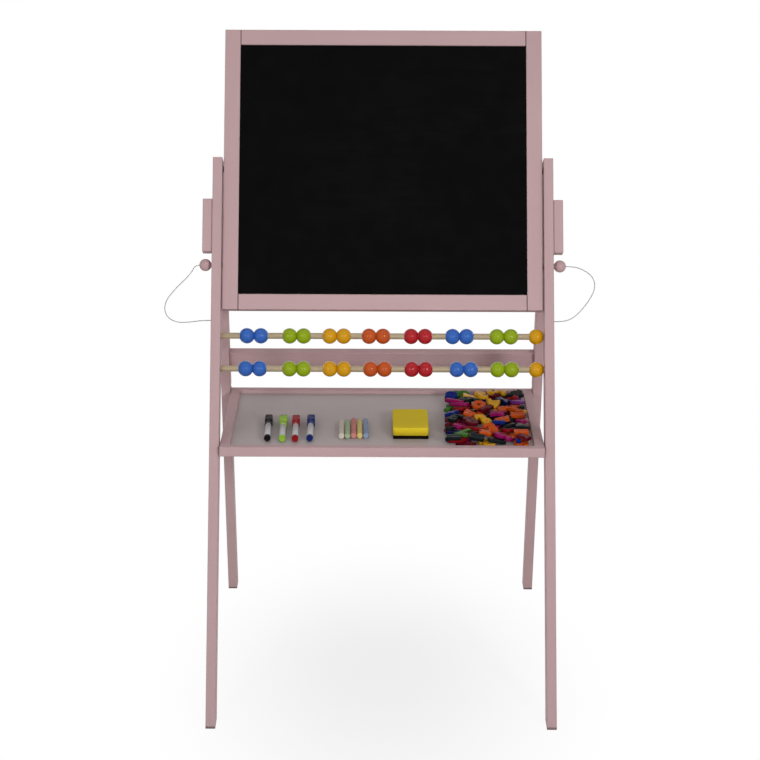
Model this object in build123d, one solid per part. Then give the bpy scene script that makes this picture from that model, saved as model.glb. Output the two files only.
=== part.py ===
"""Kids easel: a painted A-frame stand with a turning two-sided board, a bead abacus and a tray."""
import math
import os

from build123d import *

# Stand, mm. Y = 0 is midway between the front toes and the back heels.
STAND_WIDTH = 560.0
FOOTPRINT_DEPTH = 667.0
FRONT_LEG_LENGTH = 931.0
FRONT_LEAN = 23.6
LEG_THICK = 15.7
LEG_DEEP = 38.0
LEG_EDGE = 1.2
BACK_SIDE_PLAY = 0.3
CROSS_RAIL_DEEP = 35.0
CROSS_RAIL_DROP = 273.7

# Fits, on the diameter: fixed, running and hand-fitted
FIT = 0.2
RUN = 0.6
EASY = 0.8

# Hinge cheeks on the outer faces of the front legs
CHEEK_THICK = 15.7
CHEEK_TALL = 88.0
CHEEK_DROP = 70.0
CHEEK_FOOT = 21.0
CHEEK_LOBE = 20.0
HINGE_PIN = 8.0
HINGE_BACK = 88.9

# Frame screws
SCREW = 4.0
SCREW_HEAD = 9.0
SCREW_SUNK = 3.0

# Board
BOARD_GAP = 1.7
BOARD_HEIGHT = 470.8
BOARD_THICK = 18.0
BOARD_FRAME = 25.6
PANEL_THICK = 6.0
PANEL_GROOVE = 6.0
STILE_END = 12.0
PIVOT_DROP = 17.0
PIVOT_PIN = 7.0
PIVOT_HEAD = 14.0
PIVOT_SUNK = 4.0

# Lock pegs and their cords
PEG_DROP = 160.5
PEG_PIN = 8.0
PEG_BALL = 20.0
PEG_GRIP = 2.6
PEG_SEAT = 8.4
PEG_CLEAR = 0.3
CORD = 1.6
CORD_ANCHOR_DROP = 92.0
CORD_SOCKET = 9.0

# Abacus
ROD = 10.0
ROD_SOCKET = 9.0
ROD_DROP = 42.3
ROD_SPACING = 54.3
BEAD = 25.4
BEAD_LENGTH = 22.4
BEAD_PITCH = 22.8
BEAD_BORE = 10.7

# Tray
TRAY_GAP = 1.5
TRAY_TOP = 417.0
TRAY_RAIL = 16.0
TRAY_LIP = 6.4
TRAY_PROUD = 14.6
TRAY_BACK_LAP = 18.8
TRAY_PANEL = 4.0
TRAY_GROOVE = 5.0
TRAY_PIN = 8.0
TRAY_PIN_OUT = 6.0

# Loose set on the tray
MARKER = 12.8
MARKER_BARREL = 10.2
MARKER_LENGTH = 118.5
MARKER_CAP = 45.0
MARKER_WIPER = 31.0
CHALK = 9.5
ERASER = (59.0, 111.0, 19.2)
ERASER_FELT = 6.0

SIDES = {"left": -1, "right": 1}
lean_f = math.radians(FRONT_LEAN)
half = STAND_WIDTH / 2
inner = half - LEG_THICK
leg_mid = LEG_DEEP / 2
toe = -FOOTPRINT_DEPTH / 2

# The hinge line, one lobe below the top of the cheek and well behind the front leg
cheek_high = FRONT_LEG_LENGTH - CHEEK_DROP
cheek_low = cheek_high - CHEEK_TALL
cheek_screws = (cheek_low + 20, cheek_high - 22)
hinge_s = cheek_high - CHEEK_LOBE
hinge_c = HINGE_BACK
hinge_y = toe + hinge_s * math.sin(lean_f) + hinge_c * math.cos(lean_f)
hinge_z = hinge_s * math.cos(lean_f) - hinge_c * math.sin(lean_f)

# The back legs lean so that the hinge is on their middle line and the heel ends the footprint
heel_run = hinge_y - toe - FOOTPRINT_DEPTH
lean_b = math.atan2(hinge_z, heel_run) - math.acos(-leg_mid / math.hypot(heel_run, hinge_z))
BACK_LEAN = math.degrees(lean_b)
back_foot = FOOTPRINT_DEPTH - LEG_DEEP / math.cos(lean_b)
hinge_t = (toe + back_foot - hinge_y) * math.sin(lean_b) + hinge_z * math.cos(lean_b)
back_half = half - BACK_SIDE_PLAY
back_inner = back_half - LEG_THICK

# Leg frames: local Z runs up the leg and local Y runs back from its front face
FRONT = Pos(0, toe, 0) * Rot(-FRONT_LEAN, 0, 0)
BACK = Pos(0, toe + back_foot, 0) * Rot(BACK_LEAN, 0, 0)
FLOOR_CUT = Pos(0, 0, -200) * Box(3 * STAND_WIDTH, 3 * FOOTPRINT_DEPTH, 400)

# Stations up the front leg
board_half = inner - BOARD_GAP
pivot_up = FRONT_LEG_LENGTH - PIVOT_DROP
peg_up = pivot_up - PEG_DROP
peg_out = PEG_SEAT + 0.1 + PEG_GRIP
cord_up = peg_up - CORD_ANCHOR_DROP
rod_upper = pivot_up - BOARD_HEIGHT / 2 - ROD_DROP
ROD_UPS = {"upper": rod_upper, "lower": rod_upper - ROD_SPACING}
rod_reach = inner - BEAD_LENGTH / 2

# Tray stations
tray_half = inner - TRAY_GAP
tray_mid_z = TRAY_TOP - TRAY_RAIL / 2
tray_floor = TRAY_TOP - TRAY_LIP
tray_y0 = toe + TRAY_TOP * math.tan(lean_f) - TRAY_PROUD
tray_y1 = toe + back_foot - tray_mid_z * math.tan(lean_b) + TRAY_BACK_LAP
tray_pin_y = tray_y1 - TRAY_RAIL / 2 - 1.5
tray_pin_in = TRAY_RAIL - TRAY_GROOVE - 1
screw_tip = tray_half - TRAY_RAIL + TRAY_GROOVE + 0.5
leg_front_y = toe + tray_mid_z * math.tan(lean_f)
screw_ys = [leg_front_y + part * LEG_DEEP / math.cos(lean_f) for part in (0.335, 0.77)]


def eased(width, depth, height, radius):
    """A bar with every edge rounded over, centred on the origin."""
    bar = Box(width, depth, height)
    return fillet(bar.edges(), radius)


def pin(x_from, x_to, diameter, y, z):
    """A round bar along X between two stations."""
    length = abs(x_to - x_from)
    return Pos((x_from + x_to) / 2, y, z) * Rot(0, 90, 0) * Cylinder(diameter / 2, length)


def outer_rim(round_bar, sign):
    """The edge of a round bar's end face on the given side."""
    return round_bar.faces().sort_by(Axis.X)[-1 if sign > 0 else 0].edges()


def side_sketch_plane(x):
    """The plane at a station on X, with Y to its right and Z up it."""
    return Plane(origin=(x, 0, 0), x_dir=(0, 1, 0), z_dir=(1, 0, 0))


def screw(x_seat, sign, reach, y, z):
    """A pan-head screw along X: its head sits outward of the seat, its shank runs inward."""
    crown = x_seat + sign * SCREW_SUNK
    top = pin(x_seat, crown, SCREW_HEAD, y, z)
    top = fillet(outer_rim(top, sign), SCREW_SUNK * 0.45)
    slot = Pos(crown, y, z) * Box(SCREW_SUNK * 0.8, SCREW_HEAD * 0.7, 1.0)
    cross = Pos(crown, y, z) * Box(SCREW_SUNK * 0.8, 1.0, SCREW_HEAD * 0.7)
    return top + pin(x_seat, x_seat - sign * reach, SCREW, y, z) - slot - cross


parts = {}


# The cupped seat for a peg's ball, a cone that opens 1 mm clear of the leg
peg_hole = (PEG_PIN + EASY) / 2
peg_mouth = math.sqrt((PEG_BALL / 2) ** 2 - PEG_SEAT ** 2) + EASY
peg_cup = peg_mouth - peg_hole + 1
cup = Cone(peg_hole, peg_mouth + 1, peg_cup)

# Front legs: rod sockets, peg hole, cord hole, pivot bore and screw seats
for side, sign in SIDES.items():
    blank = eased(LEG_THICK, LEG_DEEP, FRONT_LEG_LENGTH + 80, LEG_EDGE)
    leg = Pos(sign * (half - LEG_THICK / 2), leg_mid, FRONT_LEG_LENGTH / 2 - 40) * blank
    for up in ROD_UPS.values():
        leg -= pin(sign * inner, sign * (inner + ROD_SOCKET), ROD + FIT, leg_mid, up)
    leg -= pin(sign * (inner - 1), sign * (half + 1), PEG_PIN + EASY, leg_mid, peg_up)
    leg -= Pos(sign * (half + 1 - peg_cup / 2), leg_mid, peg_up) * Rot(0, 90 * sign, 0) * cup
    leg -= pin(sign * (half - CORD_SOCKET), sign * (half + 1), CORD + RUN, leg_mid, cord_up)
    leg -= pin(sign * (inner - 1), sign * (half + 1), PIVOT_PIN + FIT, leg_mid, pivot_up)
    leg -= pin(sign * (half - PIVOT_SUNK), sign * (half + 1), PIVOT_HEAD + 2 * FIT, leg_mid, pivot_up)
    for up in cheek_screws:
        leg -= pin(sign * (half - 11), sign * (half + 1), SCREW + FIT, leg_mid, up)
    leg = FRONT * leg - FLOOR_CUT
    for y in screw_ys:
        leg -= pin(sign * (inner - 1), sign * (half + 1), SCREW + FIT, y, tray_mid_z)
        leg -= pin(sign * (half - SCREW_SUNK), sign * (half + 1), SCREW_HEAD + 2 * FIT, y, tray_mid_z)
    parts[f"front_leg_{side}"] = leg

# Hinge cheeks: flush front edge, short flat foot and a round lobe about the hinge pin
reach = math.hypot(hinge_c - CHEEK_FOOT, hinge_s - cheek_low)
aim = math.atan2(cheek_low - hinge_s, CHEEK_FOOT - hinge_c) + math.acos(CHEEK_LOBE / reach)
touch = (hinge_c + CHEEK_LOBE * math.cos(aim), hinge_s + CHEEK_LOBE * math.sin(aim))
for side, sign in SIDES.items():
    outline = Polyline(
        (hinge_c, cheek_high),
        (0, cheek_high),
        (0, cheek_low),
        (CHEEK_FOOT, cheek_low),
        touch,
    )
    lobe = ThreePointArc(touch, (hinge_c + CHEEK_LOBE, hinge_s), (hinge_c, cheek_high))
    face = make_face([outline, lobe])
    x_low = half if sign > 0 else -half - CHEEK_THICK
    cheek = extrude(side_sketch_plane(x_low) * face, CHEEK_THICK)
    cheek = fillet(cheek.edges(), 1.2)
    cheek -= pin(sign * (half - 1), sign * (half + CHEEK_THICK + 1), HINGE_PIN + FIT, hinge_c, hinge_s)
    for up in cheek_screws:
        face_x = half + CHEEK_THICK
        cheek -= pin(sign * (half - 1), sign * face_x, SCREW + FIT, leg_mid, up)
        cheek -= pin(sign * (face_x - SCREW_SUNK), sign * (face_x + 1), SCREW_HEAD + 2 * FIT, leg_mid, up)
    parts[f"hinge_cheek_{side}"] = FRONT * cheek

# Frame screws: two through each cheek, two through each front leg into the tray
screws = []
for sign in SIDES.values():
    for up in cheek_screws:
        seat = half + CHEEK_THICK - SCREW_SUNK
        screws.append(FRONT * screw(sign * seat, sign, CHEEK_THICK - SCREW_SUNK + 10, leg_mid, up))
    for y in screw_ys:
        screws.append(screw(sign * (half - SCREW_SUNK), sign, half - SCREW_SUNK - screw_tip, y, tray_mid_z))
parts["frame_screws"] = Compound(children=screws)

# Hinge bolts: domed head outside the cheek, plain shank into the back leg
bolts = []
for sign in SIDES.values():
    seat = half + CHEEK_THICK
    head = pin(sign * seat, sign * (seat + 4.5), 17, hinge_c, hinge_s)
    head = fillet(outer_rim(head, sign), 3.0)
    socket = pin(sign * (seat + 2), sign * (seat + 5), 6, hinge_c, hinge_s)
    shank = pin(sign * seat, sign * (inner + 2.5), HINGE_PIN, hinge_c, hinge_s)
    bolts.append(FRONT * (head + shank - socket))
parts["hinge_bolts"] = Compound(children=bolts)

# Board pivot bolts: flush head in the leg, collar across the gap, plain tip in the stile
bolts = []
for sign in SIDES.values():
    head = pin(sign * (half - PIVOT_SUNK), sign * half, PIVOT_HEAD, leg_mid, pivot_up)
    socket = pin(sign * (half - 2.4), sign * (half + 1), 5, leg_mid, pivot_up)
    collar = pin(sign * (board_half + 0.3), sign * inner, 10, leg_mid, pivot_up)
    tip = board_half - BOARD_FRAME + PANEL_GROOVE + 1
    shank = pin(sign * tip, sign * (half - 3), PIVOT_PIN, leg_mid, pivot_up)
    bolts.append(FRONT * (head + collar + shank - socket))
parts["board_pivot_bolts"] = Compound(children=bolts)

# Abacus rods, bottomed in the leg sockets
rod_end = inner + ROD_SOCKET
rods = [pin(-rod_end, rod_end, ROD, leg_mid, up) for up in ROD_UPS.values()]
parts["abacus_rods"] = Compound(children=[FRONT * rod for rod in rods])

# Beads: a ball cut flat at both ends and bored for its rod. Group centres are fractions of
# how far a bead can go, in the order of the colours along the rod.
COLOURS = ("blue", "green", "yellow", "orange", "red", "blue", "green", "yellow")
GROUPS = {
    "upper": (-0.8309, -0.5545, -0.2959, -0.0417, 0.2301, 0.4979, 0.7844, 0.9937),
    "lower": (-0.8378, -0.5545, -0.2940, -0.0316, 0.2337, 0.5250, 0.7893, 0.9937),
}
ball = Sphere(BEAD / 2) & Box(BEAD_LENGTH, BEAD, BEAD)
bore = pin(-BEAD, BEAD, BEAD_BORE, 0, 0)
bead = ball - bore
mouths = bead.edges().filter_by(GeomType.CIRCLE).sort_by(SortBy.RADIUS)[:2]
bead = chamfer(mouths, 0.3)
bead_x = {}
for row, centres in GROUPS.items():
    number = 0
    for index, centre in enumerate(centres):
        offsets = (-0.5, 0.5) if index < len(centres) - 1 else (0.0,)
        for offset in offsets:
            number += 1
            name = f"bead_{row}_{number:02d}_{COLOURS[index]}"
            bead_x[name] = centre * rod_reach + offset * BEAD_PITCH
            parts[name] = FRONT * Pos(bead_x[name], leg_mid, ROD_UPS[row]) * bead

# Board frame: full-height stiles, rails with stub tenons in the panel groove
groove_wide = 2 * PANEL_THICK
for side, sign in SIDES.items():
    x_mid = sign * (board_half - BOARD_FRAME / 2)
    stile = Pos(x_mid, leg_mid, pivot_up) * eased(BOARD_FRAME, BOARD_THICK, BOARD_HEIGHT, 1.0)
    x_groove = sign * (board_half - BOARD_FRAME + PANEL_GROOVE / 2)
    stile -= Pos(x_groove, leg_mid, pivot_up) * Box(PANEL_GROOVE, groove_wide, BOARD_HEIGHT - 2 * STILE_END)
    x_deep = board_half - BOARD_FRAME + PANEL_GROOVE
    stile -= pin(sign * x_deep, sign * (board_half + 1), PIVOT_PIN + RUN, leg_mid, pivot_up)
    for up in (pivot_up - PEG_DROP, pivot_up + PEG_DROP):
        stile -= pin(sign * (board_half - 4), sign * (board_half + 1), PEG_PIN + EASY, leg_mid, up)
    parts[f"board_stile_{side}"] = FRONT * stile

rail_clear = 2 * (board_half - BOARD_FRAME)
for end, sign in (("top", 1), ("bottom", -1)):
    z_mid = pivot_up + sign * (BOARD_HEIGHT / 2 - BOARD_FRAME / 2)
    rail = fillet(Box(rail_clear, BOARD_THICK, BOARD_FRAME).edges().filter_by(Axis.X), 1.0)
    rail = Pos(0, leg_mid, z_mid) * rail
    z_groove = z_mid - sign * (BOARD_FRAME / 2 - PANEL_GROOVE / 2)
    rail -= Pos(0, leg_mid, z_groove) * Box(rail_clear, groove_wide, PANEL_GROOVE)
    z_tenon = z_mid - sign * (PANEL_GROOVE / 2 - 0.5)
    tenon_tall = BOARD_FRAME - PANEL_GROOVE - STILE_END - 1
    tenon = Box(rail_clear + 2 * PANEL_GROOVE - 1, groove_wide - 2 * FIT, tenon_tall)
    parts[f"board_rail_{end}"] = FRONT * (rail + Pos(0, leg_mid, z_tenon) * tenon)

panel_w = rail_clear + 2 * PANEL_GROOVE - 1
panel_h = BOARD_HEIGHT - 2 * BOARD_FRAME + 2 * PANEL_GROOVE - 1
for name, step in (("chalkboard_panel", -0.5), ("whiteboard_panel", 0.5)):
    sheet = Box(panel_w, PANEL_THICK - 0.1, panel_h)
    parts[name] = FRONT * Pos(0, leg_mid + step * (PANEL_THICK - 0.1), pivot_up) * sheet

# Back legs: rounded top about the hinge, and a hook groove on the inner face that takes the
# tray pin. The groove is an arc about the hinge, shut in front and open at the back face.
swing = math.hypot(tray_pin_y - hinge_y, tray_mid_z - hinge_z)
swing_at = math.degrees(math.atan2(tray_mid_z - hinge_z, tray_pin_y - hinge_y))
hook_turn = math.degrees(1.2 * LEG_DEEP / swing)
for side, sign in SIDES.items():
    profile = Pos(leg_mid, (hinge_t - 60) / 2) * Rectangle(LEG_DEEP, hinge_t + 60)
    profile += Pos(leg_mid, hinge_t) * Circle(LEG_DEEP / 2)
    x_low = back_inner if sign > 0 else -back_half
    leg = extrude(side_sketch_plane(x_low) * profile, LEG_THICK)
    leg = fillet(leg.edges().filter_by(lambda edge: edge.length > LEG_DEEP + 5), LEG_EDGE)
    leg -= pin(sign * (inner + 2), sign * (half + 1), HINGE_PIN + RUN, leg_mid, hinge_t)
    leg = BACK * leg - FLOOR_CUT
    track = CenterArc((hinge_y, hinge_z), swing, swing_at, hook_turn)
    hook = SlotArc(track, TRAY_PIN + EASY)
    x_hook = back_inner - 0.5 if sign > 0 else -back_inner - TRAY_PIN_OUT - 0.5
    leg -= extrude(side_sketch_plane(x_hook) * hook, TRAY_PIN_OUT + 1)
    parts[f"back_leg_{side}"] = leg

rail = eased(2 * back_inner, LEG_THICK, CROSS_RAIL_DEEP, LEG_EDGE)
parts["back_cross_rail"] = BACK * Pos(0, leg_mid, hinge_t - CROSS_RAIL_DROP) * rail

# Tray: front and back rails run full width, side rails sit between, the panel slides in grooves
groove_z = tray_floor - TRAY_PANEL / 2
in_w = 2 * (tray_half - TRAY_RAIL)
in_d = tray_y1 - tray_y0 - 2 * TRAY_RAIL
tray_mid_y = (tray_y0 + tray_y1) / 2
for end, y_mid, turn in (("front", tray_y0 + TRAY_RAIL / 2, 1), ("back", tray_y1 - TRAY_RAIL / 2, -1)):
    rail = Pos(0, y_mid, tray_mid_z) * eased(2 * tray_half, TRAY_RAIL, TRAY_RAIL, 1.2)
    y_groove = y_mid + turn * (TRAY_RAIL / 2 - TRAY_GROOVE / 2)
    rail -= Pos(0, y_groove, groove_z) * Box(in_w + 2 * TRAY_GROOVE, TRAY_GROOVE, TRAY_PANEL)
    for sign in SIDES.values():
        if end == "back":
            bore_from = sign * (tray_half - tray_pin_in)
            rail -= pin(bore_from, sign * half, TRAY_PIN + FIT / 2, tray_pin_y, tray_mid_z)
    parts[f"tray_{end}_rail"] = rail

for side, sign in SIDES.items():
    x_mid = sign * (tray_half - TRAY_RAIL / 2)
    rail = fillet(Box(TRAY_RAIL, in_d, TRAY_RAIL).edges().filter_by(Axis.Y), 1.2)
    rail = Pos(x_mid, tray_mid_y, tray_mid_z) * rail
    x_groove = sign * (tray_half - TRAY_RAIL + TRAY_GROOVE / 2)
    rail -= Pos(x_groove, tray_mid_y, groove_z) * Box(TRAY_GROOVE, in_d, TRAY_PANEL)
    for y in screw_ys:
        rail -= pin(sign * screw_tip, sign * inner, SCREW + FIT, y, tray_mid_z)
    parts[f"tray_side_{side}"] = rail

panel = Box(in_w + 2 * TRAY_GROOVE - 0.6, in_d + 2 * TRAY_GROOVE - 0.6, TRAY_PANEL)
parts["tray_panel"] = Pos(0, tray_mid_y, groove_z) * panel

# Tray pins: short dowels from the back rail's ends that the back legs hook on to
pins = []
for sign in SIDES.values():
    x_end = sign * (tray_half + TRAY_PIN_OUT)
    dowel = pin(sign * (tray_half - tray_pin_in), x_end, TRAY_PIN, tray_pin_y, tray_mid_z)
    pins.append(chamfer(outer_rim(dowel, sign), 0.8))
parts["tray_pins"] = Compound(children=pins)

# Lock pegs: a ball on a dowel, drawn back just clear of the board. Pushed home, the ball sits in
# a cupped seat in the leg.
for side, sign in SIDES.items():
    centre = half + peg_out
    knob = Pos(sign * centre, leg_mid, peg_up) * Sphere(PEG_BALL / 2)
    dowel = pin(sign * (board_half + PEG_CLEAR), sign * centre, PEG_PIN, leg_mid, peg_up)
    dowel = chamfer(outer_rim(dowel, -sign), 0.7)
    eye = pin(sign * (centre + PEG_BALL / 2 - 3), sign * (centre + PEG_BALL), CORD, leg_mid, peg_up)
    parts[f"peg_{side}"] = FRONT * (knob + dowel - eye)

# Peg cords: out from the ball, over in a bow and back into the leg. Stations are the distance
# outward of the leg, the height above the peg and the distance back from the leg's middle.
cord_out = peg_out + PEG_BALL / 2 - 3
ROUTES = {
    "left": (
        (cord_out, 0, 0), (28, 0, 0), (35, -16, -3), (60, -41, -6), (77, -64, -7), (75, -86, -7),
        (57, -97, -6), (35, -95.5, -3), (14, -CORD_ANCHOR_DROP, 0), (-5, -CORD_ANCHOR_DROP, 0),
    ),
    "right": (
        (cord_out, 0, 0), (27, 0, 0), (44, -3, -3), (65, -17, -5), (69, -37, -7), (57, -60, -6.5),
        (39, -81, -5), (25, -90, -2), (10, -CORD_ANCHOR_DROP, 0), (-5, -CORD_ANCHOR_DROP, 0),
    ),
}
for side, sign in SIDES.items():
    stations = ROUTES[side]
    points = [Vector(sign * (half + out), leg_mid + back, peg_up + rise) for out, rise, back in stations]
    radii = []
    for before, here, after in zip(points, points[1:], points[2:]):
        run_in = here - before
        run_out = after - here
        turn = math.radians(run_in.get_angle(run_out))
        radii.append(0.45 * min(run_in.length, run_out.length) / math.tan(turn / 2))
    print(side, "cord bends, mm:", [round(radius, 1) for radius in radii])
    route = FilletPolyline(*points, radius=radii)
    start = Plane(origin=route @ 0, z_dir=route % 0)
    parts[f"peg_cord_{side}"] = FRONT * sweep(start * Circle(CORD / 2), path=route)

# Markers: plug, slim barrel and wide cap with a square wiper end, lying along the tray
barrel = MARKER_LENGTH - MARKER_CAP
wiper_from = MARKER_LENGTH - MARKER_WIPER
plug_r = MARKER_BARREL / 2 + 0.3
cap_r = MARKER / 2 - 0.1
profile = Polyline(
    (0, 0), (plug_r - 1, 0), (plug_r, 1), (plug_r, 8), (MARKER_BARREL / 2, 8), (MARKER_BARREL / 2, barrel),
    (cap_r - 0.6, barrel), (cap_r, barrel + 0.8), (cap_r, wiper_from + 1), (0, wiper_from + 1), (0, 0),
)
body = revolve(make_face(Plane.XZ * profile), Axis.Z)
wiper = Pos(0, 0, MARKER_LENGTH - MARKER_WIPER / 2) * eased(MARKER, MARKER, MARKER_WIPER, 1.5)
marker = Rot(-90, 0, 0) * (body + wiper)
markers = []
for x, y, turn in ((-0.709, 49.0, 0.9), (-0.6175, 47.5, 0.8), (-0.5377, 47.3, 0.7), (-0.4476, 49.9, 0.0)):
    spot = Pos(x * inner, tray_y0 + y, tray_floor + MARKER / 2)
    markers.append(spot * Rot(0, 0, turn) * marker)
parts["markers"] = Compound(children=markers)

# Chalk sticks: tapered, side by side, some more used than others
sticks = []
for index, (y, length) in enumerate(((67.1, 84.0), (68.5, 84.0), (70.8, 92.0), (70.1, 84.0), (70.2, 90.0))):
    stick = Solid.make_cone(CHALK / 2, CHALK / 2 - 0.6, length)
    stick = chamfer(stick.edges().filter_by(GeomType.CIRCLE), 0.5)
    lie = math.degrees(math.atan(0.6 / length))
    spot = Pos(-0.2516 * inner + (CHALK + 0.5) * index, tray_y0 + y, tray_floor + CHALK / 2)
    sticks.append(spot * Rot(0, 0, 0.6) * Rot(-90 - lie, 0, 0) * stick)
parts["chalk_sticks"] = Compound(children=sticks)

# Board eraser: foam block on a felt base
wide, long, tall = ERASER
base = Pos(0, 0, ERASER_FELT / 2) * eased(wide - 1, long - 1, ERASER_FELT, 0.8)
foam = Pos(0, 0, (tall + ERASER_FELT) / 2) * eased(wide, long, tall - ERASER_FELT, 2.0)
spot = Pos(0.1786 * inner, tray_y0 + 68.5 + long / 2, tray_floor)
parts["board_eraser"] = Compound(children=[spot * base, spot * foam])

os.makedirs("parts", exist_ok=True)
for name, shape in parts.items():
    export_step(shape, f"parts/{name}.step")
print(len(parts), "parts")
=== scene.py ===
"""Kids easel: finishes, cords and the loose set on the tray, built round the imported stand."""
from __future__ import annotations

import logging
import math
from dataclasses import dataclass, field
from enum import Enum
from functools import cache
from itertools import product
from typing import Any, Iterable, Sequence

import bmesh
import bpy
import numpy as np
from mathutils import Matrix, Vector
from mathutils.bvhtree import BVHTree


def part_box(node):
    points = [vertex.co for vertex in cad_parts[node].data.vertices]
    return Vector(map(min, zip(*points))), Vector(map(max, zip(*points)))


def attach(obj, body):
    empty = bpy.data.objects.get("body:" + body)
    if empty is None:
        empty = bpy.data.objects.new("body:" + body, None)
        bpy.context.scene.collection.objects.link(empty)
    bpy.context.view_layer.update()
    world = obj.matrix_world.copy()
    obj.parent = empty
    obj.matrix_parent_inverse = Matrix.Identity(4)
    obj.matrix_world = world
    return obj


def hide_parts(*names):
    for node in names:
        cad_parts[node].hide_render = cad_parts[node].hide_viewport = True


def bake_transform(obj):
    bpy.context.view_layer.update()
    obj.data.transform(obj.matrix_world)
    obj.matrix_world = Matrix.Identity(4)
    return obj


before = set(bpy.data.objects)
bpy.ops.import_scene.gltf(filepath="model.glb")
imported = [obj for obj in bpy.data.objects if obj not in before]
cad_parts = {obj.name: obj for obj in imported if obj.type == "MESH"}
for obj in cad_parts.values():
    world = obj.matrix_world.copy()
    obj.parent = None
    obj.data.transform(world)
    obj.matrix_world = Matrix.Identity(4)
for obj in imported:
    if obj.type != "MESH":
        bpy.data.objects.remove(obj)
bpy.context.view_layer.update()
log = logging.getLogger("easel")

Colour = tuple[float, float, float, float]
Triple = tuple[float, float, float]
Span = tuple[float, float]
Extras = tuple[tuple[str, float], ...]
Look = tuple[Any, Any, Any]
Profile = list[tuple[float, float, int]]
Shape = bmesh.types.BMesh
Rings = list[list[bmesh.types.BMVert]]
Cells = tuple[np.ndarray, np.ndarray, np.ndarray]
Socket = bpy.types.NodeSocket
Tree = bpy.types.NodeTree

MM = 0.001
FULL_TURN = 2 * math.pi
LYING = math.radians(-90)
FRONT_LEAN = math.radians(23.6)
BACK_LEAN = math.radians(-17.3)


def shade(red: int, green: int, blue: int) -> Colour:
    """A display colour, from 0 to 255, as the linear colour that a shader takes."""
    parts = [value / 255 for value in (red, green, blue)]
    return (*(p / 12.92 if p <= 0.04045 else ((p + 0.055) / 1.055) ** 2.4 for p in parts), 1.0)


@dataclass(frozen=True)
class LegFrame:
    """The slope of the front legs, as the stand's maker sets it out, mm."""

    toe: float = -333.5
    lean: float = FRONT_LEAN
    middle: float = 19.0
    half_width: float = 280.0

    def place(self, x: float, up: float, back: float) -> Vector:
        """A point of the stand from its station on the leg.

        Args:
            x: Distance to the right of the stand's middle, mm.
            up: Distance up the leg, mm.
            back: Distance behind the leg's front face, mm.

        Returns:
            The point in metres.
        """
        y = self.toe + up * math.sin(self.lean) + back * math.cos(self.lean)
        z = up * math.cos(self.lean) - back * math.sin(self.lean)
        return Vector((x, y, z)) * MM


@dataclass(frozen=True)
class TrayFrame:
    """Where the tray's inside lies, mm."""

    front: float = -165.917
    floor: float = 410.6
    inner_half: float = 264.3

    def place(self, x: float, along: float, above: float = 0.0) -> Matrix:
        """The move to a place on the tray, from its middle, its front and its floor."""
        return Matrix.Translation(Vector((x, self.front + along, self.floor + above)) * MM)


LEG = LegFrame()
TRAY = TrayFrame()


class Grain(Enum):
    """The way the wood's fibres run, as the turn that brings them upright."""

    FRONT_LEG = (FRONT_LEAN, 0.0, 0.0)
    BACK_LEG = (BACK_LEAN, 0.0, 0.0)
    ACROSS = (0.0, math.radians(-90), 0.0)
    FORE_AFT = (math.radians(90), 0.0, 0.0)


class BeadHue(Enum):
    """Lacquer colours of the abacus beads."""

    BLUE = shade(50, 100, 184)
    GREEN = shade(142, 165, 8)
    YELLOW = shade(210, 152, 2)
    ORANGE = shade(190, 80, 24)
    RED = shade(174, 28, 36)


class InkHue(Enum):
    """Cap colours of the markers."""

    BLACK = shade(26, 23, 24)
    GREEN = shade(146, 190, 58)
    RED = shade(148, 26, 34)
    BLUE = shade(26, 42, 104)


class ChalkHue(Enum):
    """Colours of the chalk sticks, in their order on the tray."""

    WHITE = shade(204, 194, 180)
    GREEN = shade(158, 176, 142)
    PINK = shade(196, 124, 118)
    YELLOW = shade(212, 192, 116)
    BLUE = shade(132, 150, 180)


class MagnetHue(Enum):
    """Moulding colours of the number magnets."""

    BLUE = shade(15, 36, 112)
    NAVY = shade(18, 24, 74)
    INK = shade(20, 27, 29)
    ORANGE = shade(194, 78, 20)
    YELLOW = shade(204, 150, 30)
    MAGENTA = shade(140, 16, 84)
    RED = shade(124, 14, 20)
    CRIMSON = shade(88, 12, 26)
    GREEN = shade(58, 104, 32)
    PURPLE = shade(112, 42, 122)


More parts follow.
